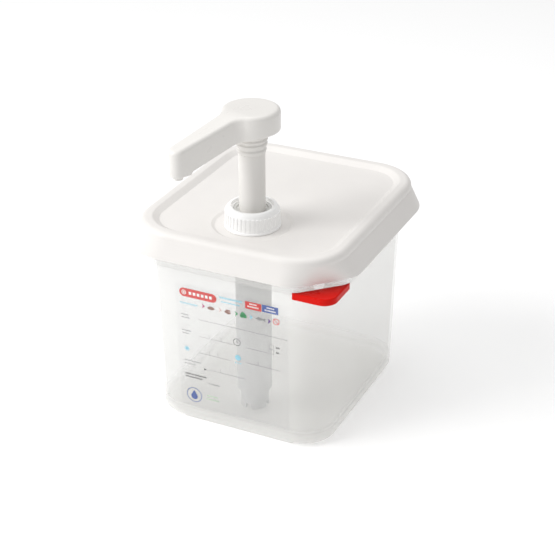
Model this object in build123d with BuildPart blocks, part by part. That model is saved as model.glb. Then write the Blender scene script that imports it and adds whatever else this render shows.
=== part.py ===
from build123d import *
import math
import os

# Condiment pump dispenser: a sixth-size food pan with a lid that carries a long screw-on piston pump.
# Millimetres, +Z up. The origin is the centre of the pan's underside, on the surface it stands on.
# The label side of the pan, and the spout, face -Y.

os.makedirs("parts", exist_ok=True)

# ---------------------------------------------------------------- driving dimensions
# pan
RIM_X, RIM_Y = 162.0, 176.0          # sixth-size gastronorm rim
PAN_HEIGHT = 150.0
BASE_X, BASE_Y = 139.5, 154.0        # outside of the walls at the base
TOP_X, TOP_Y = 146.4, 162.8          # outside of the walls under the rim
BASE_RADIUS, TOP_RADIUS = 25.0, 26.6
PAN_WALL = 1.8
FOOT_HEIGHT = 1.5
RIM_LIP_BOTTOM = 132.0
RIM_FLANGE = 2.0
RIM_EDGE_FILLET = 3.0

# colour clip
CLIP_BOTTOM, CLIP_TOP = 129.0, 134.0
CLIP_RADIUS = 10.0
CLIP_REACH_X, CLIP_REACH_Y = 29.5, 30.7    # how far the clip runs back from the square corner
SHELF_BOTTOM, SHELF_THICKNESS = 130.6, 1.6
FIT_GAP = 0.3

# lid
LIP_BOTTOM, WAIST_Z, FRAME_TOP = 140.0, 154.5, 160.3
LID_WALL = 1.8
FRAME_EDGE_FILLET = 4.5
PANEL_TOP = 157.5
PANEL_THICKNESS = 2.2
PANEL_X, PANEL_Y, PANEL_RADIUS = 134.0, 157.0, 25.0
PANEL_SLOPE = 5.0                    # how far the frame's inner slope reaches outwards as it rises

# outlines with two corners cut: lengths in X and Y, radius of the round corners,
# leg of the straight cuts, radius that softens the ends of those cuts
RIM = (RIM_X, RIM_Y, 30.5, 28.5, 12.0)
LIP = (174.0, 187.0, 37.0, 35.0, 20.0)    # lid's skirt at its lower lip
WAIST = (160.0, 183.4, 36.0, 21.5, 35.5)  # lid's skirt where it meets the raised frame

# pump
PUMP_Y = -44.0
SEAT_RADIUS, SEAT_SLOPE, SEAT_DEPTH = 27.0, 2.5, 1.2
SPIGOT_RADIUS, SPIGOT_TOP = 16.2, 165.0
THREAD_PROUD = 0.8
CYLINDER_RADIUS, CYLINDER_BORE = 13.2, 11.7
CYLINDER_BOTTOM = 21.0
FLANGE_BOTTOM, FLANGE_TOP = 166.2, 168.0
COLLAR_RADIUS, COLLAR_TOP = 19.6, 172.0
COLLAR_RIBS = 40
STEM_RADIUS, STEM_BORE = 9.5, 6.0
NECK_BOTTOM, HEAD_BOTTOM, HEAD_TOP = 212.0, 229.5, 245.0
HEAD_RADIUS = 20.5
SPOUT_REACH = 65.0
SPOUT_ANGLE = 22.5                   # degrees from -Y towards -X
SPOUT_END_RADIUS = 6.2
SPOUT_BOTTOM = 213.6
TIP_BOTTOM = 211.0
STROKE = 40.0
PISTON_BOTTOM, PISTON_TOP = 130.0, 146.0
SPRING_BOTTOM, SPRING_TOP = 28.1, 125.9
FOOT_BOTTOM, FOOT_RADIUS = 6.5, 10.7
RUN_GAP = 0.08                       # radial running clearance of the stem in its guide

FLOOR_TOP = FOOT_HEIGHT + 2.0
SEAT_FLOOR = PANEL_TOP - SEAT_DEPTH
PANEL_BOTTOM = PANEL_TOP - PANEL_THICKNESS

pump_base = Plane(origin=(0, PUMP_Y, 0), x_dir=(1, 0, 0), z_dir=(0, 0, 1))
pump_section = Plane(origin=(0, PUMP_Y, 0), x_dir=(1, 0, 0), z_dir=(0, -1, 0))


def rounded(z, length_x, length_y, radius):
    """Rounded rectangle at height z."""
    with BuildSketch(Plane.XY.offset(z)) as outline:
        RectangleRounded(length_x, length_y, radius)
    return outline.sketch


def clipped(z, inset, shape):
    """Outline from one of the shapes above at height z, moved inwards by inset.

    The (+X, -Y) and (-X, +Y) corners are cut straight and the other two are round.
    """
    length_x, length_y, radius, leg, softening = shape
    with BuildSketch(Plane.XY.offset(z)) as outline:
        Rectangle(length_x - 2 * inset, length_y - 2 * inset)
        chamfer(outline.vertices().filter_by(lambda v: v.X * v.Y < 0), length=leg - inset * (2 - math.sqrt(2)))
        fillet(outline.vertices().filter_by(lambda v: v.X * v.Y < 0), radius=softening - inset)
        fillet(outline.vertices().filter_by(lambda v: v.X * v.Y > 0).sort_by(Axis.Y)[0], radius=radius - inset)
        fillet(outline.vertices().filter_by(lambda v: v.X * v.Y > 0).sort_by(Axis.Y)[-1], radius=radius - inset)
    return outline.sketch


def ring(bottom, top, outer, inner):
    """Plain ring about the pump's axis."""
    with BuildPart() as body:
        with BuildSketch(pump_base.offset(bottom)):
            Circle(outer)
            Circle(inner, mode=Mode.SUBTRACT)
        extrude(amount=top - bottom)
    return body.part


def turned(points):
    """Solid turned about the pump's axis from (radius, z) points."""
    with BuildPart() as body:
        with BuildSketch(pump_section):
            with BuildLine():
                Polyline(points, close=True)
            make_face()
        revolve(axis=Axis((0, PUMP_Y, 0), (0, 0, 1)))
    return body.part


def save(solid, name):
    """Label a finished piece and write it."""
    solid.label = name
    export_step(solid, f"parts/{name}.step")


# ---------------------------------------------------------------- container
with BuildPart() as cavity:
    loft(
        sections=[
            rounded(FLOOR_TOP, BASE_X - 2 * PAN_WALL, BASE_Y - 2 * PAN_WALL, BASE_RADIUS - PAN_WALL),
            rounded(PAN_HEIGHT, TOP_X - 2 * PAN_WALL, TOP_Y - 2 * PAN_WALL, TOP_RADIUS - PAN_WALL),
        ],
        ruled=True,
    )
    fillet(cavity.edges().group_by(Axis.Z)[0], radius=3.5)

with BuildPart() as container:
    loft(
        sections=[
            rounded(FOOT_HEIGHT, BASE_X, BASE_Y, BASE_RADIUS),
            rounded(PAN_HEIGHT, TOP_X, TOP_Y, TOP_RADIUS),
        ],
        ruled=True,
    )
    fillet(container.edges().group_by(Axis.Z)[0], radius=4.0)
    # cross-shaped stacking foot, so that the pan stands on one flat plateau
    with BuildSketch(Plane.XY):
        RectangleRounded(92, 148, 3)
        RectangleRounded(134, 108, 3)
    extrude(amount=FOOT_HEIGHT + 0.3)
    # flange and downturned rim
    extrude(clipped(PAN_HEIGHT - RIM_FLANGE, 0, RIM), amount=RIM_FLANGE)
    with BuildSketch(Plane.XY.offset(RIM_LIP_BOTTOM)):
        add(clipped(0, 0, RIM))
        add(clipped(0, PAN_WALL, RIM), mode=Mode.SUBTRACT)
    extrude(amount=PAN_HEIGHT - RIM_LIP_BOTTOM)
    fillet(
        container.edges().group_by(Axis.Z)[-1].filter_by(
            lambda e: e.bounding_box().max.X > TOP_X / 2 + 1
            or e.bounding_box().min.X < -TOP_X / 2 - 1
            or abs(e.center().Y) > TOP_Y / 2 + 1
        ),
        radius=RIM_EDGE_FILLET,
    )
    add(cavity.part, mode=Mode.SUBTRACT)
    # shelves for a clip, on the two cut corners
    cut_corners = ((RIM_X / 2, -RIM_Y / 2), (-RIM_X / 2, RIM_Y / 2))
    with BuildSketch(Plane.XY.offset(SHELF_BOTTOM)):
        with Locations(*cut_corners):
            Rectangle(RIM_X / 2, RIM_Y / 2)
        RectangleRounded(RIM_X - 3.0, RIM_Y - 3.0, CLIP_RADIUS - 1.5, mode=Mode.INTERSECT)
        add(clipped(0, 0.5, RIM), mode=Mode.SUBTRACT)
    extrude(amount=SHELF_THICKNESS)
    # the rim's lip reaches lower there, to carry the shelves
    with BuildSketch(Plane.XY.offset(SHELF_BOTTOM)):
        with Locations(*cut_corners):
            Rectangle(2 * CLIP_REACH_X, 2 * CLIP_REACH_Y)
        add(clipped(0, 0, RIM), mode=Mode.INTERSECT)
        add(clipped(0, PAN_WALL, RIM), mode=Mode.SUBTRACT)
    extrude(amount=RIM_LIP_BOTTOM - SHELF_BOTTOM + 0.5)
save(container.part, "container")

# ---------------------------------------------------------------- front label film
WALL_SLOPE = (TOP_Y - BASE_Y) / 2 / (PAN_HEIGHT - FOOT_HEIGHT)
LABEL_WIDTH, LABEL_HEIGHT, LABEL_BOTTOM, LABEL_FILM = 89.0, 106.0, 12.0, 0.2
label_middle = LABEL_BOTTOM + LABEL_HEIGHT / 2
label_plane = Plane(
    origin=(0, -BASE_Y / 2 - WALL_SLOPE * (label_middle - FOOT_HEIGHT), label_middle),
    x_dir=(1, 0, 0),
    z_dir=(0, -1, -WALL_SLOPE),
)
with BuildPart() as front_label:
    with BuildSketch(label_plane):
        RectangleRounded(LABEL_WIDTH, LABEL_HEIGHT, 2)
    extrude(amount=LABEL_FILM)
save(front_label.part, "front_label")

# ---------------------------------------------------------------- colour clip
CLIP_WALL = 1.2
with BuildPart() as colour_clip:
    with BuildSketch(Plane.XY.offset(CLIP_BOTTOM)):
        RectangleRounded(RIM_X + 0.4, RIM_Y + 0.4, CLIP_RADIUS)
        add(clipped(0, -FIT_GAP, RIM), mode=Mode.SUBTRACT)
        with Locations((RIM_X / 2, -RIM_Y / 2)):
            Rectangle(2 * CLIP_REACH_X, 2 * CLIP_REACH_Y, mode=Mode.INTERSECT)
    extrude(amount=CLIP_TOP - CLIP_BOTTOM)
    fillet(
        colour_clip.faces().sort_by(Axis.Z)[-1].edges().filter_by(
            lambda e: (e.bounding_box().max.X > RIM_X / 2 + 0.15 or e.bounding_box().min.Y < -RIM_Y / 2 - 0.15)
            and e.length > 5
        ),
        radius=1.0,
    )
    # slot that takes the pan's corner shelf
    with BuildSketch(Plane.XY.offset(SHELF_BOTTOM - FIT_GAP)):
        RectangleRounded(RIM_X - 2.4, RIM_Y - 2.4, CLIP_RADIUS - CLIP_WALL)
        Rectangle(RIM_X, RIM_Y, align=(Align.MAX, Align.CENTER), mode=Mode.SUBTRACT)
    extrude(amount=SHELF_THICKNESS + 2 * FIT_GAP, mode=Mode.SUBTRACT)
save(colour_clip.part, "colour_clip")

# ---------------------------------------------------------------- lid
with BuildPart() as lid_cavity:
    loft(sections=[clipped(LIP_BOTTOM, LID_WALL, LIP), clipped(WAIST_Z, LID_WALL, WAIST)], ruled=True)
    extrude(clipped(WAIST_Z, LID_WALL, WAIST), amount=PANEL_BOTTOM - WAIST_Z)
    # hollow under the raised frame
    frame_inner_x = PANEL_X + 2 * PANEL_SLOPE + 3.0
    frame_inner_y = PANEL_Y + 2 * PANEL_SLOPE + 3.0
    with BuildSketch(Plane.XY.offset(WAIST_Z)):
        add(clipped(0, LID_WALL, WAIST))
        RectangleRounded(frame_inner_x, frame_inner_y, PANEL_RADIUS + PANEL_SLOPE, mode=Mode.SUBTRACT)
    extrude(amount=FRAME_TOP - LID_WALL - WAIST_Z)

with BuildPart() as lid:
    loft(sections=[clipped(LIP_BOTTOM, 0, LIP), clipped(WAIST_Z, 0, WAIST)], ruled=True)
    extrude(clipped(WAIST_Z, 0, WAIST), amount=FRAME_TOP - WAIST_Z)
    fillet(lid.edges().group_by(Axis.Z)[-1], radius=FRAME_EDGE_FILLET)
    # recessed panel with a sloping inner edge
    loft(
        sections=[
            rounded(PANEL_TOP, PANEL_X, PANEL_Y, PANEL_RADIUS),
            rounded(FRAME_TOP, PANEL_X + 2 * PANEL_SLOPE, PANEL_Y + 2 * PANEL_SLOPE, PANEL_RADIUS + PANEL_SLOPE),
        ],
        ruled=True,
        mode=Mode.SUBTRACT,
    )
    crest = lid.edges().group_by(Axis.Z)[-1]
    fillet(crest.filter_by(lambda e: e.distance_to(Vertex(0, 0, FRAME_TOP)) < frame_inner_y / 2), radius=2.5)
    add(lid_cavity.part, mode=Mode.SUBTRACT)
    # rib that rests on the pan's flange
    with BuildSketch(Plane.XY.offset(PAN_HEIGHT + 0.05)):
        RectangleRounded(152, 168, 34)
        RectangleRounded(148, 164, 32, mode=Mode.SUBTRACT)
    extrude(amount=PANEL_BOTTOM - PAN_HEIGHT + 0.2)
    # boss, round seat and spigot for the pump
    with BuildSketch(pump_base.offset(PANEL_BOTTOM - 1.5)):
        Circle(SEAT_RADIUS + SEAT_SLOPE + 1.5)
    extrude(amount=1.7)
    add(
        turned(
            [
                (0, SEAT_FLOOR),
                (SEAT_RADIUS, SEAT_FLOOR),
                (SEAT_RADIUS + SEAT_SLOPE, PANEL_TOP),
                (0, PANEL_TOP),
            ]
        ),
        mode=Mode.SUBTRACT,
    )
    with BuildSketch(pump_base.offset(SEAT_FLOOR - 0.2)):
        Circle(SPIGOT_RADIUS)
    extrude(amount=SPIGOT_TOP - SEAT_FLOOR + 0.2)
    for ridge_z in (159.4, 162.4):
        add(
            turned(
                [
                    (SPIGOT_RADIUS - 0.5, ridge_z - 1.1),
                    (SPIGOT_RADIUS + THREAD_PROUD, ridge_z - 0.3),
                    (SPIGOT_RADIUS + THREAD_PROUD, ridge_z + 0.3),
                    (SPIGOT_RADIUS - 0.5, ridge_z + 1.1),
                ]
            )
        )
    with BuildSketch(pump_base.offset(PANEL_BOTTOM - 2)):
        Circle(CYLINDER_RADIUS + 0.4)
    extrude(amount=SPIGOT_TOP, mode=Mode.SUBTRACT)
save(lid.part, "lid")

# ---------------------------------------------------------------- closure: collar and gasket
with BuildPart() as closure_collar:
    add(
        turned(
            [
                (17.3, SEAT_FLOOR + 0.3),
                (COLLAR_RADIUS + 0.8, SEAT_FLOOR + 0.3),
                (COLLAR_RADIUS + 0.8, SEAT_FLOOR + 1.6),
                (COLLAR_RADIUS + 0.1, SEAT_FLOOR + 2.2),
                (COLLAR_RADIUS - 0.4, COLLAR_TOP - 3.4),
                (COLLAR_RADIUS - 1.0, COLLAR_TOP - 1.6),
                (COLLAR_RADIUS - 2.0, COLLAR_TOP - 0.4),
                (COLLAR_RADIUS - 2.7, COLLAR_TOP),
                (15.2, COLLAR_TOP),
                (15.2, FLANGE_TOP + 2.0),
                (CYLINDER_RADIUS + 0.5, FLANGE_TOP + 2.0),
                (CYLINDER_RADIUS + 0.5, FLANGE_TOP + 0.05),
                (17.3, FLANGE_TOP + 0.05),
            ]
        )
    )
    with BuildSketch(pump_base.offset(SEAT_FLOOR + 2.4)):
        with PolarLocations(COLLAR_RADIUS - 0.25, COLLAR_RIBS):
            Rectangle(1.3, 1.6)
    extrude(amount=COLLAR_TOP - 3.6 - SEAT_FLOOR - 2.4)
save(closure_collar.part, "closure_collar")

save(ring(SPIGOT_TOP + 0.05, FLANGE_BOTTOM - 0.05, SPIGOT_RADIUS, CYLINDER_RADIUS + 0.5), "closure_gasket")

# ---------------------------------------------------------------- pump cylinder and its guide
save(
    turned(
        [
            (8.0, CYLINDER_BOTTOM),
            (CYLINDER_RADIUS - 1.0, CYLINDER_BOTTOM),
            (CYLINDER_RADIUS, CYLINDER_BOTTOM + 1.0),
            (CYLINDER_RADIUS, FLANGE_BOTTOM),
            (SPIGOT_RADIUS, FLANGE_BOTTOM),
            (SPIGOT_RADIUS, FLANGE_TOP),
            (CYLINDER_BORE, FLANGE_TOP),
            (CYLINDER_BORE, CYLINDER_BOTTOM + 2.5),
            (8.0, CYLINDER_BOTTOM + 2.5),
        ]
    ),
    "pump_cylinder",
)

GUIDE_BORE = STEM_RADIUS + RUN_GAP
GUIDE_TOP = 169.4
WIPER_BOTTOM, WIPER_TOP = 163.0, 165.0
save(
    turned(
        [
            (GUIDE_BORE, 157.0),
            (CYLINDER_BORE - 0.1, 157.0),
            (CYLINDER_BORE - 0.1, FLANGE_TOP),
            (CYLINDER_RADIUS + 0.2, FLANGE_TOP),
            (CYLINDER_RADIUS + 0.2, GUIDE_TOP),
            (CYLINDER_BORE, GUIDE_TOP),
            (CYLINDER_BORE, FLANGE_TOP + 0.4),
            (GUIDE_BORE, FLANGE_TOP + 0.4),
            (GUIDE_BORE, WIPER_TOP),
            (GUIDE_BORE + 1.0, WIPER_TOP),
            (GUIDE_BORE + 1.0, WIPER_BOTTOM),
            (GUIDE_BORE, WIPER_BOTTOM),
        ]
    ),
    "stem_guide",
)
save(ring(WIPER_BOTTOM + 0.1, WIPER_TOP - 0.1, GUIDE_BORE + 0.9, STEM_RADIUS + 0.05), "stem_wiper")

# ---------------------------------------------------------------- intake valve
SEAT_EDGE_Z, LOWER_SEAT_R, LOWER_BALL_R = 26.0, 4.0, 4.75
LOWER_BALL_LIFT = 2.5
lower_ball_z = SEAT_EDGE_Z + math.sqrt(LOWER_BALL_R**2 - LOWER_SEAT_R**2) + 0.03
cage_ceiling = lower_ball_z + LOWER_BALL_R + LOWER_BALL_LIFT + 0.1

with BuildPart() as foot_valve_body:
    add(
        turned(
            [
                (8.2, FOOT_BOTTOM),
                (FOOT_RADIUS, FOOT_BOTTOM),
                (FOOT_RADIUS, CYLINDER_BOTTOM - 0.05),
                (7.95, CYLINDER_BOTTOM - 0.05),
                (7.95, SEAT_EDGE_Z),
                (LOWER_SEAT_R, SEAT_EDGE_Z),
                (LOWER_SEAT_R, 17.0),
                (8.2, 14.0),
            ]
        )
    )
    with BuildSketch(pump_base.offset(FOOT_BOTTOM)):
        with PolarLocations(0, 2):
            Rectangle(30, 4.5)
        with PolarLocations(0, 2, start_angle=90):
            Rectangle(30, 4.5)
    extrude(amount=4.5, mode=Mode.SUBTRACT)
save(foot_valve_body.part, "foot_valve_body")

with BuildPart() as lower_ball_cage:
    add(
        turned(
            [
                (8.05, CYLINDER_BOTTOM + 2.55),
                (CYLINDER_BORE - 0.1, CYLINDER_BOTTOM + 2.55),
                (CYLINDER_BORE - 0.1, SPRING_BOTTOM - 0.1),
                (7.0, SPRING_BOTTOM - 0.1),
                (7.0, cage_ceiling + 2.0),
                (2.4, cage_ceiling + 2.0),
                (2.4, cage_ceiling),
                (5.4, cage_ceiling),
                (5.4, SEAT_EDGE_Z + 0.05),
                (8.05, SEAT_EDGE_Z + 0.05),
            ]
        )
    )
    with BuildSketch(pump_base.offset(SPRING_BOTTOM + 0.8)):
        with PolarLocations(6.2, 3):
            Rectangle(4, 4)
    extrude(amount=5.0, mode=Mode.SUBTRACT)
save(lower_ball_cage.part, "lower_ball_cage")

with BuildPart() as lower_check_ball:
    with Locations((0, PUMP_Y, lower_ball_z)):
        Sphere(LOWER_BALL_R)
save(lower_check_ball.part, "lower_check_ball")

# ---------------------------------------------------------------- piston, spring and delivery valve
STEM_TAIL_RADIUS = 8.5
SEAL_BOTTOM, SEAL_TOP = 136.0, 139.0
PISTON_RADIUS = 11.2
save(
    turned(
        [
            (STEM_TAIL_RADIUS + RUN_GAP, PISTON_BOTTOM),
            (PISTON_RADIUS, PISTON_BOTTOM),
            (PISTON_RADIUS, SEAL_BOTTOM),
            (PISTON_RADIUS - 1.2, SEAL_BOTTOM),
            (PISTON_RADIUS - 1.2, SEAL_TOP),
            (PISTON_RADIUS, SEAL_TOP),
            (PISTON_RADIUS, PISTON_TOP),
            (STEM_TAIL_RADIUS + RUN_GAP, PISTON_TOP),
        ]
    ),
    "piston",
)
save(ring(SEAL_BOTTOM + 0.1, SEAL_TOP - 0.1, CYLINDER_BORE - 0.05, PISTON_RADIUS - 1.1), "piston_seal")
save(ring(SPRING_TOP + 0.1, SPRING_TOP + 1.5, 11.0, 6.5), "spring_washer")

SPRING_RADIUS, SPRING_WIRE = 9.6, 0.7
SPRING_TURNS = 13
spring_length = SPRING_TOP - SPRING_BOTTOM - 2 * SPRING_WIRE
with BuildPart() as return_spring:
    with BuildLine():
        coil = Helix(
            pitch=spring_length / SPRING_TURNS,
            height=spring_length,
            radius=SPRING_RADIUS,
            center=(0, PUMP_Y, SPRING_BOTTOM + SPRING_WIRE),
        )
    with BuildSketch(Plane(origin=coil @ 0, z_dir=coil % 0)):
        Circle(SPRING_WIRE)
    sweep(is_frenet=True)
save(return_spring.part, "return_spring")

UPPER_SEAT_Z, UPPER_SEAT_R, UPPER_BALL_R = 138.0, 3.3, 4.2
UPPER_BALL_LIFT = 2.5
upper_ball_z = UPPER_SEAT_Z + math.sqrt(UPPER_BALL_R**2 - UPPER_SEAT_R**2) + 0.03
save(
    turned(
        [
            (UPPER_SEAT_R, SPRING_TOP + 1.6),
            (9.4, SPRING_TOP + 1.6),
            (9.4, PISTON_BOTTOM - 0.1),
            (STEM_BORE - 0.05, PISTON_BOTTOM - 0.1),
            (STEM_BORE - 0.05, UPPER_SEAT_Z),
            (UPPER_SEAT_R, UPPER_SEAT_Z),
        ]
    ),
    "upper_valve_seat",
)
with BuildPart() as upper_check_ball:
    with Locations((0, PUMP_Y, upper_ball_z)):
        Sphere(UPPER_BALL_R)
save(upper_check_ball.part, "upper_check_ball")

stop_z = upper_ball_z + UPPER_BALL_R + UPPER_BALL_LIFT + 0.1
with BuildPart() as upper_ball_stop:
    with BuildSketch(pump_base.offset(stop_z)):
        Circle(STEM_BORE - 0.05)
        Circle(STEM_BORE - 1.3, mode=Mode.SUBTRACT)
        Rectangle(2 * STEM_BORE - 2, 1.6)
        Rectangle(1.6, 2 * STEM_BORE - 2)
    extrude(amount=2.0)
save(upper_ball_stop.part, "upper_ball_stop")

# ---------------------------------------------------------------- stem
save(
    turned(
        [
            (STEM_BORE, PISTON_BOTTOM),
            (STEM_TAIL_RADIUS, PISTON_BOTTOM),
            (STEM_TAIL_RADIUS, PISTON_TOP + 0.1),
            (STEM_RADIUS, PISTON_TOP + 0.1),
            (STEM_RADIUS, NECK_BOTTOM),
            (7.55, NECK_BOTTOM),
            (7.55, NECK_BOTTOM + 14.0),
            (STEM_BORE, NECK_BOTTOM + 14.0),
        ]
    ),
    "pump_stem",
)

# ---------------------------------------------------------------- head, neck and spout arm
spout_angle = math.radians(SPOUT_ANGLE)
spout_direction = Vector(-math.sin(spout_angle), -math.cos(spout_angle), 0)
arm_plan = Plane(origin=(0, PUMP_Y, 0), x_dir=spout_direction, z_dir=(0, 0, 1))
arm_side = Plane(origin=(0, PUMP_Y, 0), x_dir=spout_direction, z_dir=spout_direction.cross(Vector(0, 0, 1)))
ARM_ROOT_HALF = 9.2
ARM_START = 4.0
ARM_EDGE_FILLET = 3.5
ARM_BLEND, ARM_BLEND_END = 12.0, 32.0
HEAD_EDGE_FILLET = 3.0
SPOUT_TOP = 230.0
CHANNEL_Z, CHANNEL_RADIUS = 237.0, 3.6
channel_end_z = 223.5

with BuildPart() as arm:
    with BuildSketch(arm_plan.offset(SPOUT_BOTTOM)):
        with Locations((ARM_START, 0)):
            Circle(ARM_ROOT_HALF)
        with Locations((SPOUT_REACH, 0)):
            Circle(SPOUT_END_RADIUS)
        make_hull()
    extrude(amount=HEAD_TOP - SPOUT_BOTTOM)
    # seen from the side: a drooping arm that ends in a short vertical outlet
    outlet_back = SPOUT_REACH - SPOUT_END_RADIUS - 0.5
    with BuildSketch(arm_side):
        with BuildLine():
            Polyline(
                (0, HEAD_TOP + 1.2),
                (SPOUT_REACH + 15, SPOUT_TOP - 3),
                (SPOUT_REACH + 15, SPOUT_BOTTOM),
                (outlet_back, SPOUT_BOTTOM),
                (outlet_back, SPOUT_BOTTOM + 0.8),
                (0, HEAD_BOTTOM + 1),
                close=True,
            )
        make_face()
    extrude(amount=HEAD_RADIUS, both=True, mode=Mode.INTERSECT)
    fillet(
        arm.edges().filter_by(
            lambda e: e.bounding_box().min.Z > SPOUT_TOP - 3 and e.bounding_box().size.Z < 13.5 and e.length > 3
        ),
        radius=ARM_EDGE_FILLET,
    )

with BuildPart() as pump_head:
    with BuildSketch(pump_base.offset(HEAD_BOTTOM)):
        Circle(HEAD_RADIUS)
    extrude(amount=HEAD_TOP - HEAD_BOTTOM)
    fillet(pump_head.edges().group_by(Axis.Z)[-1], radius=HEAD_EDGE_FILLET)
    fillet(pump_head.edges().group_by(Axis.Z)[0], radius=1.0)
    add(arm.part)
    # concave blends where the arm leaves the disc
    with BuildSketch(arm_plan.offset(HEAD_BOTTOM + 0.4)) as blend:
        with Locations((ARM_START, 0)):
            Circle(ARM_ROOT_HALF - 0.2)
        with Locations((SPOUT_REACH, 0)):
            Circle(SPOUT_END_RADIUS - 0.2)
        make_hull()
        Rectangle(2 * ARM_BLEND_END, 2 * HEAD_RADIUS, mode=Mode.INTERSECT)
        Circle(HEAD_RADIUS)
        roots = blend.vertices().filter_by(lambda v: 12 < math.hypot(v.X, v.Y - PUMP_Y) < HEAD_RADIUS + 1)
        fillet(roots, radius=ARM_BLEND)
    extrude(amount=6.0)
    # neck with its lock-down thread rings
    add(
        turned(
            [
                (0, NECK_BOTTOM + 0.05),
                (9.9, NECK_BOTTOM + 0.05),
                (10.1, NECK_BOTTOM + 3.0),
                (11.2, HEAD_BOTTOM + 0.5),
                (0, HEAD_BOTTOM + 0.5),
            ]
        )
    )
    for turn in range(4):
        ring_z = NECK_BOTTOM + 2.4 + 3.4 * turn
        ring_r = 10.0 + 0.27 * turn
        add(
            turned(
                [
                    (ring_r - 1.0, ring_z - 1.2),
                    (ring_r + 0.55, ring_z - 0.3),
                    (ring_r + 0.55, ring_z + 0.3),
                    (ring_r - 1.0, ring_z + 1.2),
                ]
            )
        )
    # bore for the stem, then the channel through the arm to the outlet
    with BuildSketch(pump_base.offset(NECK_BOTTOM)):
        Circle(7.6)
    extrude(amount=14.1, mode=Mode.SUBTRACT)
    with BuildSketch(pump_base.offset(NECK_BOTTOM)):
        Circle(5.0)
    extrude(amount=CHANNEL_Z - NECK_BOTTOM, mode=Mode.SUBTRACT)
    channel_start = Vector(0, PUMP_Y, CHANNEL_Z)
    channel_end = Vector(0, PUMP_Y, channel_end_z) + spout_direction * SPOUT_REACH
    with BuildSketch(Plane(origin=channel_start, z_dir=channel_end - channel_start)):
        Circle(CHANNEL_RADIUS)
    extrude(amount=(channel_end - channel_start).length, mode=Mode.SUBTRACT)
    with BuildSketch(arm_plan.offset(SPOUT_BOTTOM)):
        with Locations((SPOUT_REACH, 0)):
            Circle(CHANNEL_RADIUS)
    extrude(amount=channel_end_z - SPOUT_BOTTOM, mode=Mode.SUBTRACT)
save(pump_head.part, "pump_head")

with BuildPart() as spout_tip:
    with BuildSketch(arm_plan.offset(SPOUT_BOTTOM)):
        with Locations((SPOUT_REACH, 0)):
            Circle(CHANNEL_RADIUS - 0.05)
    extrude(amount=6.0)
    with BuildSketch(arm_plan.offset(TIP_BOTTOM)):
        with Locations((SPOUT_REACH, 0)):
            Circle(3.4)
    extrude(amount=SPOUT_BOTTOM - TIP_BOTTOM + 0.1)
    with BuildSketch(arm_plan.offset(TIP_BOTTOM)):
        with Locations((SPOUT_REACH, 0)):
            Circle(2.2)
    extrude(amount=12.0, mode=Mode.SUBTRACT)
save(spout_tip.part, "spout_tip")
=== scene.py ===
import math
import random

import bmesh
import bpy
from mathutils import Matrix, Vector


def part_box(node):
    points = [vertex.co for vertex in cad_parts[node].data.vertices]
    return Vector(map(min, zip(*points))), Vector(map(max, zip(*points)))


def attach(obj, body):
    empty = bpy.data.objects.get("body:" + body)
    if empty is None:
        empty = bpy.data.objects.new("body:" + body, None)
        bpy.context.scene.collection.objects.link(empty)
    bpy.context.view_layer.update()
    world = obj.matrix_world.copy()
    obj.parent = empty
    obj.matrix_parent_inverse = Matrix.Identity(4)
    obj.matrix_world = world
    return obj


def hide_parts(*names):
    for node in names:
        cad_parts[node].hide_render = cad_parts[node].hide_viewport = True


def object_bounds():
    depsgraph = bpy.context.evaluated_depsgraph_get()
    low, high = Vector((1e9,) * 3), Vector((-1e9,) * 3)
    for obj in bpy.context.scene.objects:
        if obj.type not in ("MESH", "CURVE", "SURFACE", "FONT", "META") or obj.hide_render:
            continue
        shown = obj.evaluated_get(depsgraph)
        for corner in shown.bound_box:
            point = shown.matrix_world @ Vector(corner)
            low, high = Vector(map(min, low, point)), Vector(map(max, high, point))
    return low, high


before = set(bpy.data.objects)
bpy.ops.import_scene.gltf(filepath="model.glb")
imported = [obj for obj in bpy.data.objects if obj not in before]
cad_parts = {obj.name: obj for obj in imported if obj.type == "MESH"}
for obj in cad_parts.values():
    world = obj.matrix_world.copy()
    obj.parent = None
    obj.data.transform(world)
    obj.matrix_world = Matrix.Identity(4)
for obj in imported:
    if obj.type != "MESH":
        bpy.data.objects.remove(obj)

CAD_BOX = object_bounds()
random.seed(7)
MM = 0.001
PUMP_Y = -0.044


# ---------------------------------------------------------------- node helpers
def new_material(name):
    """Empty material with one Principled shader. Returns the material, its tree and the shader."""
    mat = bpy.data.materials.new(name)
    mat.use_nodes = True
    tree = mat.node_tree
    return mat, tree, tree.nodes["Principled BSDF"]


def noise(tree, scale, detail=3.0, stretch=(1, 1, 1)):
    """Noise over object coordinates, its factor output."""
    coord = tree.nodes.new("ShaderNodeTexCoord")
    mapping = tree.nodes.new("ShaderNodeMapping")
    mapping.inputs["Scale"].default_value = stretch
    tex = tree.nodes.new("ShaderNodeTexNoise")
    tex.inputs["Scale"].default_value = scale
    tex.inputs["Detail"].default_value = detail
    tex.inputs["Roughness"].default_value = 0.5
    tree.links.new(coord.outputs["Object"], mapping.inputs["Vector"])
    tree.links.new(mapping.outputs["Vector"], tex.inputs["Vector"])
    return tex.outputs["Fac"]


def remap(tree, value, low, high, out_low, out_high):
    """Map a factor's range onto another range."""
    node = tree.nodes.new("ShaderNodeMapRange")
    node.inputs["From Min"].default_value = low
    node.inputs["From Max"].default_value = high
    node.inputs["To Min"].default_value = out_low
    node.inputs["To Max"].default_value = out_high
    tree.links.new(value, node.inputs["Value"])
    return node.outputs["Result"]


def mix_color(tree, factor, dark, light):
    """Mix two colours by a factor."""
    node = tree.nodes.new("ShaderNodeMix")
    node.data_type = "RGBA"
    node.inputs["A"].default_value = (*dark, 1)
    node.inputs["B"].default_value = (*light, 1)
    tree.links.new(factor, node.inputs["Factor"])
    return node.outputs["Result"]


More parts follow.
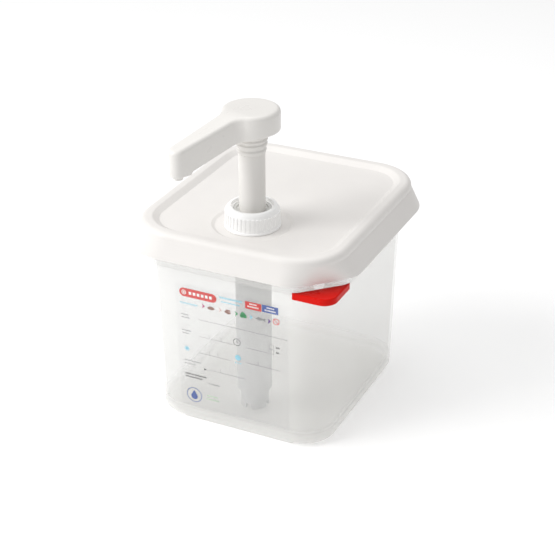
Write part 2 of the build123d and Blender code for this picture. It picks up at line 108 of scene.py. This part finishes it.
def add_bump(tree, bsdf, layers):
    """Stack bump nodes; layers are (factor, strength, distance in metres)."""
    normal = None
    for height, strength, distance in layers:
        bump = tree.nodes.new("ShaderNodeBump")
        bump.inputs["Strength"].default_value = strength
        bump.inputs["Distance"].default_value = distance
        tree.links.new(height, bump.inputs["Height"])
        if normal is not None:
            tree.links.new(normal, bump.inputs["Normal"])
        normal = bump.outputs["Normal"]
    tree.links.new(normal, bsdf.inputs["Normal"])


def moulded(
    name, dark, light, rough_low, rough_high, grain=900.0, grain_depth=0.00003, specular=0.5, painted_glow=0.0
):
    """Moulded plastic: faint cloudiness, uneven gloss, fine moulded grain and hairline scuffs.

    painted_glow is painted light: an emission that brightens the whole part evenly, standing in for light
    that a translucent plastic carries inside itself.
    """
    mat, tree, bsdf = new_material(name)
    cloud = noise(tree, 14.0, 4.0)
    tint = mix_color(tree, remap(tree, cloud, 0.3, 0.7, 0, 1), dark, light)
    tree.links.new(tint, bsdf.inputs["Base Color"])
    gloss = noise(tree, 55.0, 5.0)
    tree.links.new(remap(tree, gloss, 0.3, 0.7, rough_low, rough_high), bsdf.inputs["Roughness"])
    fine = noise(tree, grain, 2.0)
    scuff = noise(tree, 120.0, 3.0, (1.0, 14.0, 14.0))
    add_bump(tree, bsdf, [(fine, 0.25, grain_depth), (scuff, 0.12, 0.00003)])
    bsdf.inputs["Specular IOR Level"].default_value = specular
    bsdf.inputs["IOR"].default_value = 1.5
    # painted light: this emission makes the part glow evenly though it is no lamp
    bsdf.inputs["Emission Color"].default_value = (1.0, 0.99, 0.97, 1)
    bsdf.inputs["Emission Strength"].default_value = painted_glow
    return mat


def paint(node, mat):
    """Give a CAD node a material in every slot."""
    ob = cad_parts[node]
    if not ob.data.materials:
        ob.data.materials.append(mat)
    for slot in ob.material_slots:
        slot.material = mat
    return ob


# ---------------------------------------------------------------- materials
LID_WHITE = moulded(
    "lid_satin", (0.815, 0.79, 0.765), (0.855, 0.83, 0.805),
    0.36, 0.46, 1100.0, 0.00004, 0.4,
)
PUMP_WHITE = moulded(
    "pump_semi_gloss", (0.795, 0.775, 0.745), (0.835, 0.815, 0.785),
    0.26, 0.36, 1300.0, 0.00002, 0.45,
)
# painted light: the collar's 0.10 emission brightens it evenly, as if lit from within
COLLAR_WHITE = moulded(
    "collar_satin", (0.88, 0.88, 0.875), (0.92, 0.92, 0.915),
    0.34, 0.44, 1300.0, 0.00002, 0.4, 0.10,
)
GUIDE_WHITE = moulded(
    "guide_satin", (0.72, 0.72, 0.70), (0.78, 0.78, 0.76),
    0.40, 0.50,
)
CYLINDER_NATURAL = moulded(
    "cylinder_natural", (0.50, 0.505, 0.51), (0.56, 0.565, 0.57),
    0.35, 0.45,
)
# painted light: the clip's 0.10 emission brightens the red evenly, as if lit from within
CLIP_RED = moulded(
    "clip_red", (0.66, 0.006, 0.003), (0.76, 0.010, 0.005),
    0.24, 0.34, 1000.0, 0.00003, 0.10,
)
GASKET_FOAM = moulded(
    "gasket_foam", (0.74, 0.74, 0.71), (0.84, 0.84, 0.81),
    0.75, 0.9, 2500.0, 0.0001,
)
SEAL_RUBBER = moulded(
    "seal_rubber", (0.045, 0.045, 0.047), (0.08, 0.08, 0.082),
    0.5, 0.65, 1600.0, 0.00005,
)


def stainless():
    """Bright drawn stainless steel with fine drawing lines."""
    mat, tree, bsdf = new_material("stainless_bright")
    bsdf.inputs["Metallic"].default_value = 1.0
    lines = noise(tree, 300.0, 3.0, (1, 1, 9))
    tree.links.new(remap(tree, lines, 0.3, 0.7, 0.18, 0.32), bsdf.inputs["Roughness"])
    tint = mix_color(tree, lines, (0.56, 0.56, 0.57), (0.66, 0.66, 0.67))
    tree.links.new(tint, bsdf.inputs["Base Color"])
    add_bump(tree, bsdf, [(lines, 0.15, 0.00002)])
    return mat


def frosted():
    """Frosted translucent polypropylene: milky, lets what is behind it show, denser where it is cloudy."""
    mat, tree, bsdf = new_material("frosted_polypropylene")
    cloud = noise(tree, 9.0, 3.0, (1, 1, 0.35))
    fine = noise(tree, 900.0, 2.0)
    flow = noise(tree, 60.0, 2.0, (1, 1, 0.12))
    tree.links.new(
        mix_color(tree, remap(tree, cloud, 0.3, 0.7, 0, 1), (0.80, 0.795, 0.775), (0.86, 0.855, 0.835)),
        bsdf.inputs["Base Color"],
    )
    # the base and its corners are thicker, so less shows through them
    place = tree.nodes.new("ShaderNodeTexCoord")
    split = tree.nodes.new("ShaderNodeSeparateXYZ")
    tree.links.new(place.outputs["Object"], split.inputs["Vector"])
    thick = tree.nodes.new("ShaderNodeMath")
    thick.operation = "ADD"
    tree.links.new(remap(tree, cloud, 0.3, 0.7, 0.20, 0.26), thick.inputs[0])
    tree.links.new(remap(tree, split.outputs["Z"], 0.002, 0.014, 0.28, 0.0), thick.inputs[1])
    tree.links.new(thick.outputs["Value"], bsdf.inputs["Alpha"])
    tree.links.new(remap(tree, flow, 0.3, 0.7, 0.30, 0.42), bsdf.inputs["Roughness"])
    add_bump(tree, bsdf, [(fine, 0.15, 0.00003), (flow, 0.10, 0.0001)])
    bsdf.inputs["IOR"].default_value = 1.49
    # painted light: a weak emission brightens the walls evenly, standing in for light scattered through the
    # translucent plastic
    bsdf.inputs["Emission Color"].default_value = (1.0, 0.99, 0.96, 1)
    bsdf.inputs["Emission Strength"].default_value = 0.08
    return mat


def film():
    """Clear label film, slightly glossier than the wall."""
    mat, tree, bsdf = new_material("label_film")
    cloud = noise(tree, 30.0, 3.0)
    ripple = noise(tree, 45.0, 2.0, (1, 1, 0.4))
    tint = mix_color(tree, cloud, (0.86, 0.87, 0.88), (0.93, 0.935, 0.94))
    tree.links.new(tint, bsdf.inputs["Base Color"])
    tree.links.new(remap(tree, cloud, 0.3, 0.7, 0.03, 0.06), bsdf.inputs["Alpha"])
    tree.links.new(remap(tree, ripple, 0.3, 0.7, 0.22, 0.32), bsdf.inputs["Roughness"])
    add_bump(tree, bsdf, [(ripple, 0.08, 0.0001)])
    return mat


def ink(name, color, alpha=0.85):
    """Screen-printed ink with slightly uneven cover."""
    mat, tree, bsdf = new_material(name)
    cover = noise(tree, 700.0, 3.0)
    lighter = tuple(min(1.0, c * 1.15 + 0.02) for c in color)
    tint = mix_color(tree, remap(tree, cover, 0.35, 0.65, 0, 1), color, lighter)
    tree.links.new(tint, bsdf.inputs["Base Color"])
    tree.links.new(remap(tree, cover, 0.3, 0.7, alpha - 0.06, alpha), bsdf.inputs["Alpha"])
    tree.links.new(remap(tree, cover, 0.3, 0.7, 0.35, 0.5), bsdf.inputs["Roughness"])
    return mat


STEEL = stainless()
FROSTED = frosted()
FILM = film()

for node_name, node_material in {
    "container": FROSTED,
    "front_label": FILM,
    "colour_clip": CLIP_RED,
    "lid": LID_WHITE,
    "closure_collar": COLLAR_WHITE,
    "closure_gasket": GASKET_FOAM,
    "pump_cylinder": CYLINDER_NATURAL,
    "foot_valve_body": CYLINDER_NATURAL,
    "stem_guide": GUIDE_WHITE,
    "stem_wiper": SEAL_RUBBER,
    "lower_ball_cage": GUIDE_WHITE,
    "lower_check_ball": STEEL,
    "return_spring": STEEL,
    "spring_washer": STEEL,
    "piston": GUIDE_WHITE,
    "piston_seal": SEAL_RUBBER,
    "upper_valve_seat": GUIDE_WHITE,
    "upper_check_ball": STEEL,
    "upper_ball_stop": GUIDE_WHITE,
    "pump_stem": PUMP_WHITE,
    "pump_head": PUMP_WHITE,
    "spout_tip": PUMP_WHITE,
}.items():
    paint(node_name, node_material)


# ---------------------------------------------------------------- mesh helpers
def mesh_object(name, verts, faces, mat, smooth=True):
    """Mesh object in the part's frame with one material."""
    mesh = bpy.data.meshes.new(name)
    mesh.from_pydata([tuple(v) for v in verts], [], faces)
    mesh.materials.append(mat)
    mesh.update()
    work = bmesh.new()
    work.from_mesh(mesh)
    bmesh.ops.recalc_face_normals(work, faces=work.faces)
    work.to_mesh(mesh)
    work.free()
    for poly in mesh.polygons:
        poly.use_smooth = smooth
    ob = bpy.data.objects.new(name, mesh)
    bpy.context.scene.collection.objects.link(ob)
    return ob


def lathe(verts, faces, profile, segments):
    """Append a ring about the pump's axis; profile is a closed loop of (radius, z) in metres."""
    first = len(verts)
    count = len(profile)
    for i in range(segments):
        angle = 2 * math.pi * i / segments
        for radius, z in profile:
            verts.append((radius * math.cos(angle), PUMP_Y + radius * math.sin(angle), z))
    for i in range(segments):
        j = (i + 1) % segments
        for k in range(count):
            m = (k + 1) % count
            row, after = first + i * count, first + j * count
            faces.append((row + k, after + k, after + m, row + m))


# ---------------------------------------------------------------- pump head
HEAD_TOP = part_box("pump_head")[1][2]
HEAD_UNDER = HEAD_TOP - 15.5 * MM
NECK_BOTTOM = HEAD_TOP - 32.9 * MM
OUTLET_BOTTOM = HEAD_TOP - 31.4 * MM
TOP_DROOP, UNDER_DROOP = math.radians(13.2), math.radians(15.6)
TOP_ROUND, UNDER_ROUND = 3.2 * MM, 1.0 * MM
HEAD_R = 20.5 * MM
ARM_HALF, END_R, REACH = 9.2 * MM, 6.2 * MM, 65.0 * MM
SPOUT_ANGLE = math.radians(22.5)
ARM_DIR = Vector((-math.sin(SPOUT_ANGLE), -math.cos(SPOUT_ANGLE), 0))
ARM_SIDE = Vector((ARM_DIR.y, -ARM_DIR.x, 0))


def plan_outline():
    """Half outline of the head from above: (s, half width) from the back of the disc to the arm's end."""
    blend = 13.0 * MM
    # concave blend circle that touches the disc and the arm's side
    side = ARM_HALF - 0.9 * MM
    cy = side + blend
    cx = math.sqrt((HEAD_R + blend) ** 2 - cy**2)
    disc_touch = math.atan2(cy, cx)
    points = []
    for i in range(73):
        angle = math.pi - (math.pi - disc_touch) * i / 72
        points.append((HEAD_R * math.cos(angle), HEAD_R * math.sin(angle)))
    start = math.atan2(-math.sin(disc_touch), -math.cos(disc_touch))
    for i in range(1, 19):
        angle = start + (-math.pi / 2 - start) * i / 18
        points.append((cx + blend * math.cos(angle), cy + blend * math.sin(angle)))
    for i in range(1, 25):
        s = cx + (REACH - cx) * i / 24
        t = i / 24
        points.append((s, side + (END_R - side) * t))
    for i in range(1, 25):
        angle = math.pi / 2 * (1 - i / 24)
        points.append((REACH + END_R * math.cos(angle), END_R * math.sin(angle)))
    return points


def inset_outline(points, distance):
    """Move a half outline inwards, keeping its ends on the centre line."""
    result = []
    last = len(points) - 1
    for i, (s, w) in enumerate(points):
        before = points[max(i - 1, 0)]
        after = points[min(i + 1, last)]
        tangent = Vector((after[0] - before[0], after[1] - before[1]))
        if i in (0, last):
            tangent = Vector((0, 1)) if i == 0 else Vector((0, -1))
        tangent.normalize()
        result.append((s + tangent.y * distance, max(w - tangent.x * distance, 0.0)))
    return result


def top_height(s):
    """Upper surface: flat over the disc, then drooping along the arm with a soft bend."""
    slope = math.tan(TOP_DROOP)
    bend = 12.0 * MM
    start = 11.0 * MM
    over = s - start
    if over <= 0:
        return HEAD_TOP
    if over < bend:
        return HEAD_TOP - slope * over * over / (2 * bend)
    return HEAD_TOP - slope * (over - bend / 2)


def under_height(s):
    """Lower surface: flat under the disc, drooping under the arm, then down to the outlet."""
    start = 8.0 * MM
    z = HEAD_UNDER - math.tan(UNDER_DROOP) * max(s - start, 0.0)
    back = REACH - END_R
    step = 1.5 * MM
    if s > back - step:
        t = min((s - back + step) / step, 1.0)
        z = z + (OUTLET_BOTTOM - z) * (t * t * (3 - 2 * t))
    return max(z, OUTLET_BOTTOM)


def head_mesh(verts, faces):
    """Append the disc and arm as one closed skin with rounded upper and lower edges."""
    outline = plan_outline()
    last = len(outline) - 1
    rings = []
    top_steps, under_steps = 8, 4
    for i in range(top_steps + 1):
        a = math.pi / 2 * (1 - i / top_steps)
        ring = inset_outline(outline, TOP_ROUND * (1 - math.cos(a)))
        rings.append([(s, w, top_height(s) - TOP_ROUND * (1 - math.sin(a))) for s, w in ring])
    for i in range(under_steps + 1):
        a = math.pi / 2 * i / under_steps
        ring = inset_outline(outline, UNDER_ROUND * (1 - math.cos(a)))
        rings.append([(s, w, under_height(s) + UNDER_ROUND * (1 - math.sin(a))) for s, w in ring])
    base = len(verts)
    across = 10

    def place(s, w, z):
        return Vector((0, PUMP_Y, z)) + ARM_DIR * s + ARM_SIDE * w

    # ring k holds the left side from back to end, then the right side from end to back
    order = [(i, 1) for i in range(last + 1)] + [(i, -1) for i in range(last - 1, 0, -1)]
    for ring in rings:
        for i, sign in order:
            s, w, z = ring[i]
            verts.append(place(s, w * sign, z))
    size = len(order)
    for k in range(len(rings) - 1):
        for i in range(size):
            j = (i + 1) % size
            upper, lower = base + k * size, base + (k + 1) * size
            faces.append((upper + i, upper + j, lower + j, lower + i))
    # caps: strips across the head between matching left and right points
    for ring_index, ring in ((0, rings[0]), (len(rings) - 1, rings[-1])):
        offset = base + ring_index * size
        rows = [[offset]]
        for i in range(1, last):
            s, w, z = ring[i]
            row = [offset + i]
            for j in range(1, across):
                verts.append(place(s, w * (1 - 2 * j / across), z))
                row.append(len(verts) - 1)
            row.append(offset + size - i)
            rows.append(row)
        rows.append([offset + last])
        for a, b in zip(rows, rows[1:]):
            if len(a) == 1:
                for j in range(across):
                    faces.append((a[0], b[j], b[j + 1]))
            elif len(b) == 1:
                for j in range(across):
                    faces.append((a[j], a[j + 1], b[0]))
            else:
                for j in range(across):
                    faces.append((a[j], a[j + 1], b[j + 1], b[j]))


def neck_profile():
    """The neck's section from its lower edge up: one lower ring, a step, then the lock-down rings."""
    outer = [(9.65, 0.05), (9.9, 0.3), (9.95, 1.6), (10.5, 2.2), (10.5, 3.0), (10.0, 3.6)]
    outer += [(10.1, 5.0), (10.75, 5.6)]
    z = 6.4
    radius = 10.75
    for _ in range(3):
        outer += [(radius + 0.1, z), (radius + 0.45, z + 0.5), (radius + 0.45, z + 1.1)]
        outer += [(radius - 0.25, z + 1.8), (radius - 0.2, z + 2.6)]
        z += 3.2
        radius += 0.22
    outer += [(11.2, 17.2), (11.6, 18.0)]
    inner = [(7.7, 18.0), (7.7, 0.05)]
    return [(r * MM, NECK_BOTTOM + h * MM) for r, h in outer + inner]


head_verts, head_faces = [], []
head_mesh(head_verts, head_faces)
lathe(head_verts, head_faces, neck_profile(), 144)
head = mesh_object("head_shell", head_verts, head_faces, PUMP_WHITE)
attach(head, "head")
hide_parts("pump_head")


# ---------------------------------------------------------------- label print
label_points = [v.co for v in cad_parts["front_label"].data.vertices]
label_low_z = min(p.z for p in label_points)
label_high_z = max(p.z for p in label_points)
low_y = min(p.y for p in label_points if p.z < label_low_z + 3 * MM)
high_y = min(p.y for p in label_points if p.z > label_high_z - 3 * MM)
INK_LIFT = 0.04 * MM


def wall_point(x, z, lift=INK_LIFT):
    """Point just proud of the label film; x and z in millimetres."""
    height = z * MM
    t = (height - label_low_z) / (label_high_z - label_low_z)
    return (x * MM, low_y + (high_y - low_y) * t - lift, height)


class Print:
    """Flat printed shapes of one ink, gathered into one mesh."""

    def __init__(self, name, color, alpha=0.85, lift=INK_LIFT):
        self.name, self.color, self.alpha, self.lift = name, color, alpha, lift
        self.verts, self.faces = [], []

    def polygon(self, points):
        first = len(self.verts)
        self.verts += [wall_point(x, z, self.lift) for x, z in points]
        self.faces.append(tuple(range(first, first + len(points))))

    def rect(self, x0, z0, x1, z1):
        self.polygon([(x0, z0), (x1, z0), (x1, z1), (x0, z1)])

    def disc(self, x, z, r, sides=28):
        angles = [2 * math.pi * i / sides for i in range(sides)]
        self.polygon([(x + r * math.cos(a), z + r * math.sin(a)) for a in angles])

    def ring(self, x, z, r, width, sides=36):
        first = len(self.verts)
        for i in range(sides):
            a = 2 * math.pi * i / sides
            for radius in (r, r - width):
                self.verts.append(wall_point(x + radius * math.cos(a), z + radius * math.sin(a), self.lift))
        for i in range(sides):
            j = (i + 1) % sides
            self.faces.append((first + 2 * i, first + 2 * j, first + 2 * j + 1, first + 2 * i + 1))

    def line(self, x0, z0, x1, z1, width=0.28):
        dx, dz = x1 - x0, z1 - z0
        length = math.hypot(dx, dz)
        nx, nz = -dz / length * width / 2, dx / length * width / 2
        self.polygon([(x0 + nx, z0 + nz), (x0 - nx, z0 - nz), (x1 - nx, z1 - nz), (x1 + nx, z1 + nz)])

    def words(self, x, z, length, height=0.9):
        """A run of short bars that stands for small print."""
        end = x + length
        while x < end - 0.6:
            w = min(random.uniform(0.5, 1.1), end - x)
            self.rect(x, z - height / 2, x + w * 0.72, z + height / 2)
            x += w

    def pill(self, x0, x1, z, height):
        r = height / 2
        points = []
        for i in range(15):
            a = -math.pi / 2 + math.pi * i / 14
            points.append((x1 - r + r * math.cos(a), z + r * math.sin(a)))
        for i in range(15):
            a = math.pi / 2 + math.pi * i / 14
            points.append((x0 + r + r * math.cos(a), z + r * math.sin(a)))
        self.polygon(points)

    def build(self):
        own_ink = ink(self.name + "_ink", self.color, self.alpha)
        ob = mesh_object(self.name, self.verts, self.faces, own_ink, False)
        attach(ob, "pan")


red = Print("print_red", (0.62, 0.035, 0.03), 0.92)
white = Print("print_white", (0.88, 0.86, 0.84), 0.95, 0.08 * MM)
navy = Print("print_navy", (0.035, 0.085, 0.33), 0.9)
sky = Print("print_sky", (0.25, 0.62, 0.78), 0.75)
grey = Print("print_grey", (0.20, 0.205, 0.21), 0.62)
dark = Print("print_dark", (0.06, 0.06, 0.065), 0.8)
magenta = Print("print_magenta", (0.42, 0.03, 0.16), 0.85)
green = Print("print_green", (0.03, 0.30, 0.10), 0.85)
pale_green = Print("print_pale_green", (0.45, 0.68, 0.42), 0.6)
brown = Print("print_brown", (0.23, 0.09, 0.06), 0.85)
pink = Print("print_pink", (0.78, 0.52, 0.48), 0.6)
violet = Print("print_violet", (0.12, 0.04, 0.26), 0.88)

# title row: pill, pale strip, two storage-temperature blocks
red.pill(-41.3, -11.2, 110.8, 7.0)
white.ring(-37.6, 110.8, 1.9, 0.55)
white.disc(-37.6, 110.8, 0.8)
for k in range(6):
    white.rect(-33.6 + 3.3 * k, 109.6, -31.5 + 3.3 * k, 112.0)
sky.words(-9.0, 113.2, 18.6, 1.6)
sky.words(-7.6, 109.8, 15.0, 1.0)
red.rect(11.6, 109.0, 24.3, 115.0)
navy.rect(24.9, 109.4, 37.4, 115.2)
for x0 in (13.4, 26.9):
    white.words(x0 + 1.6, 113.4, 6.0, 1.1)
    white.words(x0, 111.2, 9.2, 1.1)
# category row: chevrons and food signs
sky.words(-41.2, 101.9, 14.6, 0.9)
sky.line(-41.2, 100.9, -26.8, 100.9, 0.2)
for layer, x in ((magenta, -22.6), (pink, -9.0), (green, 4.0), (sky, 15.6), (violet, 29.8)):
    layer.polygon([(x - 0.9, 105.0), (x + 1.8, 102.7), (x - 0.9, 100.4), (x, 102.7)])
brown.polygon(
    [(-19.2, 102.2), (-17.0, 103.7), (-14.2, 103.4), (-12.8, 102.0), (-15.0, 100.8), (-18.0, 101.0)]
)
brown.polygon([(-5.4, 102.0), (-3.6, 104.2), (-0.6, 104.4), (-0.2, 101.2), (-2.6, 100.6)])
pink.disc(-1.2, 102.9, 1.0)
green.disc(9.6, 103.4, 1.9)
green.disc(11.0, 102.2, 1.6)
green.disc(8.6, 101.9, 1.5)
grey.polygon(
    [
        (19.4, 102.8), (22.0, 104.2), (25.2, 103.4), (27.4, 104.2),
        (27.0, 102.6), (27.4, 101.2), (25.2, 102.1), (22.0, 101.4),
    ]
)
red.ring(35.6, 103.6, 2.6, 0.55)
red.line(33.9, 105.3, 37.3, 101.9, 0.55)
# table rows
grey.line(-26.5, 90.4, 44.4, 90.4)
grey.words(-40.9, 92.0, 6.4)
grey.words(-40.6, 89.6, 6.8)
grey.line(-26.6, 76.0, 1.0, 76.0)
for x in (-18.6, -8.8):
    grey.line(x, 76.0, x, 79.4)
grey.words(-40.7, 78.6, 8.0)
grey.words(-40.6, 76.2, 5.6)
dark.ring(3.9, 78.8, 3.0, 0.4)
dark.line(3.9, 78.8, 3.9, 80.6, 0.3)
dark.line(3.9, 78.8, 5.0, 78.2, 0.3)
grey.line(11.0, 76.0, 28.6, 76.0)
for z in (81.8, 77.6):
    grey.line(29.6, z - 1.8, 33.2, z - 1.8, 0.2)
    grey.line(29.6, z + 1.8, 33.2, z + 1.8, 0.2)
    grey.line(29.6, z - 1.8, 29.6, z + 1.8, 0.2)
    grey.line(33.2, z - 1.8, 33.2, z + 1.8, 0.2)
    dark.words(35.0, z + 0.3, 3.2, 1.3)
grey.line(-28.0, 61.8, -1.8, 61.8)
for x in (-18.8, -12.0):
    grey.line(x, 61.8, x, 65.2)
for k in range(6):
    across, up = 2.2 * math.cos(math.pi * k / 6), 2.2 * math.sin(math.pi * k / 6)
    sky.line(-37.5 - across, 63.2 - up, -37.5 + across, 63.2 + up, 0.45)
sky.disc(4.4, 65.8, 2.3)
for x in (2.4, 4.4, 6.4):
    sky.disc(x, 61.2, 0.55)
grey.line(10.4, 63.2, 38.4, 63.2)
for x in (20.5, 30.1):
    grey.line(x, 63.2, x, 66.8)
grey.words(-40.2, 53.0, 14.0)
grey.words(-40.0, 50.2, 9.4)
dark.polygon([(-24.0, 49.4), (-21.8, 48.4), (-24.0, 47.4)])
grey.line(-20.6, 48.8, 9.4, 48.8)
for x in (-10.4, -1.0):
    grey.line(x, 48.8, x, 51.8)
dark.words(-40.0, 41.2, 17.6, 1.2)
dark.words(-39.6, 38.8, 14.2, 1.2)
grey.words(-20.6, 36.6, 9.0, 0.9)
# round mark with a plain drop, and a pale green footer
navy.ring(-33.4, 23.4, 6.3, 0.45)
drop_angles = [0.6 - k * 0.36 for k in range(13)]
navy.polygon([(-33.4, 27.6)] + [(-33.4 + 2.7 * math.cos(a), 22.2 + 2.7 * math.sin(a)) for a in drop_angles])
pale_green.words(-22.6, 25.6, 9.0, 1.1)
pale_green.words(-23.4, 22.8, 11.0, 1.1)
for layer in (red, white, navy, sky, grey, dark, magenta, green, pale_green, brown, pink, violet):
    layer.build()


# ---------------------------------------------------------------- stage, light and camera
def floor_material():
    """Pale sweep with a faint sheen."""
    mat, tree, bsdf = new_material("pale_floor")
    tint = noise(tree, 2.0, 2.0)
    tree.links.new(mix_color(tree, tint, (0.90, 0.90, 0.90), (0.93, 0.93, 0.93)), bsdf.inputs["Base Color"])
    bsdf.inputs["Roughness"].default_value = 0.22
    bsdf.inputs["Emission Color"].default_value = (1, 1, 1, 1)
    bsdf.inputs["Emission Strength"].default_value = 0.22
    return mat


FLOOR_HALF = 6.0
floor = mesh_object(
    "floor",
    [
        (-FLOOR_HALF, -FLOOR_HALF, 0),
        (FLOOR_HALF, -FLOOR_HALF, 0),
        (FLOOR_HALF, FLOOR_HALF, 0),
        (-FLOOR_HALF, FLOOR_HALF, 0),
    ],
    [(0, 1, 2, 3)],
    floor_material(),
    False,
)
floor.location.z = CAD_BOX[0][2] - 0.0002

scene = bpy.context.scene
scene.view_settings.view_transform = "Standard"
world = bpy.data.worlds.new("studio")
world.use_nodes = True
world.node_tree.nodes["Background"].inputs["Color"].default_value = (1.0, 1.0, 1.0, 1)
world.node_tree.nodes["Background"].inputs["Strength"].default_value = 0.47
scene.world = world


def area_light(name, location, target, width, power):
    """Square area light at location, turned to face target."""
    data = bpy.data.lights.new(name, "AREA")
    data.shape = "SQUARE"
    data.size = width
    data.energy = power
    ob = bpy.data.objects.new(name, data)
    ob.location = location
    direction = Vector(target) - Vector(location)
    ob.rotation_euler = direction.to_track_quat("-Z", "Y").to_euler()
    scene.collection.objects.link(ob)


area_light("key_left", (-1.5, -1.3, 1.5), (0, 0, 0.12), 1.4, 36.0)
area_light("top", (-0.1, 0.3, 2.0), (0, 0, 0.15), 1.8, 14.0)

CAMERA_PLACE = (0.41302, -0.86170, 0.59777)
CAMERA_TARGET = (-0.000654, 0.0, 0.092195)
CAMERA_ROLL_DEG = -0.26
camera_data = bpy.data.cameras.new("camera")
camera_data.sensor_width = 36.0
camera_data.lens = 92.57
camera_data.clip_end = 50.0
camera_data.shift_x = -0.00234
camera = bpy.data.objects.new("camera", camera_data)
camera.location = CAMERA_PLACE
aim = Vector(CAMERA_TARGET) - camera.location
camera.rotation_mode = "QUATERNION"
camera.rotation_quaternion = aim.to_track_quat("-Z", "Y")
camera.rotation_mode = "XYZ"
camera.rotation_euler.rotate_axis("Z", math.radians(CAMERA_ROLL_DEG))
scene.collection.objects.link(camera)
scene.camera = camera
